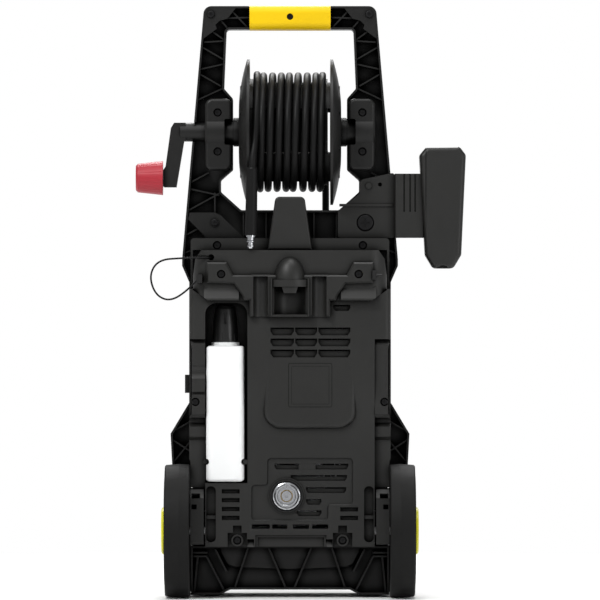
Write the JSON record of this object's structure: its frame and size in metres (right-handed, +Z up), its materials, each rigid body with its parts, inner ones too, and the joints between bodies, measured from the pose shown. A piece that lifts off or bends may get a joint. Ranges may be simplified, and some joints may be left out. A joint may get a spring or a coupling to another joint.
{
  "type": "pressure washer",
  "caption": "Upright wheeled electric pressure washer with a hose reel on its handle, a gun holster and a slide-in detergent bottle.",
  "frame": {"origin": "centre of the machine's footprint box at floor level, measured without the hose", "axes": "+Z up, -Y towards the user side with the bottle and water inlet, +X towards the holster"},
  "size_m": [0.4949, 0.316, 0.8867],
  "materials": {
    "body_plastic": "satin moulded plastic",
    "yellow_grip": "satin yellow plastic",
    "yellow_cap": "glossy lemon yellow plastic",
    "red_knob": "satin red plastic",
    "white_plastic": "translucent white blow moulded plastic",
    "black_cap": "fluted black plastic",
    "tyre_rubber": "dull black rubber",
    "hose_rubber": "smooth black hose cover",
    "screw_steel": "plated steel",
    "chrome": "bright plated metal",
    "brass": "machined brass",
    "aluminium": "cast aluminium",
    "wire": "thin plastic covered wire"
  },
  "bodies": {
    "machine": {"handle_frame": "body_plastic", "frame_plates": "body_plastic", "grip_rear": "yellow_grip", "grip_front": "yellow_grip", "frame_screws": "screw_steel", "bearing_covers": "body_plastic", "reel_bushes": "body_plastic", "hose_coil": "hose_rubber", "hose_tail": "hose_rubber", "hose_sleeve": "hose_rubber", "hose_nipple": "chrome", "hose_feed": "hose_rubber", "outlet_nut": "black_cap", "outlet_fitting": "chrome", "holster_bracket": "body_plastic", "holster_arm": "body_plastic", "holster": "body_plastic", "chassis_frame": "body_plastic", "base_frame": "body_plastic", "rubber_feet": "tyre_rubber", "axle_carriers": "body_plastic", "axle": "screw_steel", "axle_clips": "screw_steel", "rear_cover": "body_plastic", "upper_cover": "body_plastic", "wing_fittings": "black_cap", "ledge_cover": "body_plastic", "hose_hook": "body_plastic", "side_columns": "body_plastic", "front_cover": "body_plastic", "front_trim": "yellow_grip", "body_screws": "screw_steel", "switch_box": "body_plastic", "cable_gland": "black_cap", "inlet_socket": "body_plastic", "inlet_pipe": "brass", "inlet_filter": "chrome", "wire_leash": "wire", "motor_can": "body_plastic", "motor_stator": "screw_steel", "pump_housing": "aluminium", "pump_head": "aluminium", "outlet_pipe": "screw_steel"},
    "reel": {"reel_flange_left": "body_plastic", "reel_flange_right": "body_plastic", "reel_barrel": "body_plastic", "crank_arm": "body_plastic", "crank_pin": "screw_steel"},
    "knob": {"crank_knob": "red_knob"},
    "wheel_left": {"tyre_left": "tyre_rubber", "rim_left": "body_plastic", "hub_cap_left": "yellow_cap"},
    "wheel_right": {"tyre_right": "tyre_rubber", "rim_right": "body_plastic", "hub_cap_right": "yellow_cap"},
    "detergent": {"bottle": "white_plastic"},
    "detergent_cap": {"bottle_cap": "black_cap"},
    "inlet_ring": {"inlet_nut": "chrome"},
    "switch": {"switch_knob": "red_knob"},
    "rotor": {"motor_rotor": "screw_steel"}
  },
  "joints": [
    {"name": "reel_spin", "type": "hinge", "parent": "machine", "child": "reel", "pos_m": [-0.0159, 0.004, 0.697], "axis": [1, 0, 0], "continuous": true},
    {"name": "knob_spin", "type": "hinge", "parent": "reel", "child": "knob", "pos_m": [-0.2259, 0.004, 0.628], "axis": [1, 0, 0], "continuous": true},
    {"name": "wheel_left_spin", "type": "hinge", "parent": "machine", "child": "wheel_left", "pos_m": [-0.1839, -0.058, 0.1], "axis": [1, 0, 0], "continuous": true},
    {"name": "wheel_right_spin", "type": "hinge", "parent": "machine", "child": "wheel_right", "pos_m": [0.1521, -0.058, 0.1], "axis": [1, 0, 0], "continuous": true},
    {"name": "bottle_slide", "type": "slide", "parent": "machine", "child": "detergent", "axis": [0, -1, 0], "range_m": [0, 0.12]},
    {"name": "cap_turn", "type": "hinge", "parent": "detergent", "child": "detergent_cap", "pos_m": [-0.11245, -0.059, 0.4], "axis": [0, 0, 1], "continuous": true},
    {"name": "inlet_ring_spin", "type": "hinge", "parent": "machine", "child": "inlet_ring", "pos_m": [-0.0209, -0.083, 0.1525], "axis": [0, -1, 0], "continuous": true},
    {"name": "switch_turn", "type": "hinge", "parent": "machine", "child": "switch", "pos_m": [-0.0159, 0.154, 0.468], "axis": [0, 1, 0], "range_deg": [0, 90]},
    {"name": "rotor_spin", "type": "hinge", "parent": "machine", "child": "rotor", "pos_m": [-0.0059, 0.062, 0.3], "axis": [0, 0, 1], "continuous": true}
  ]
}
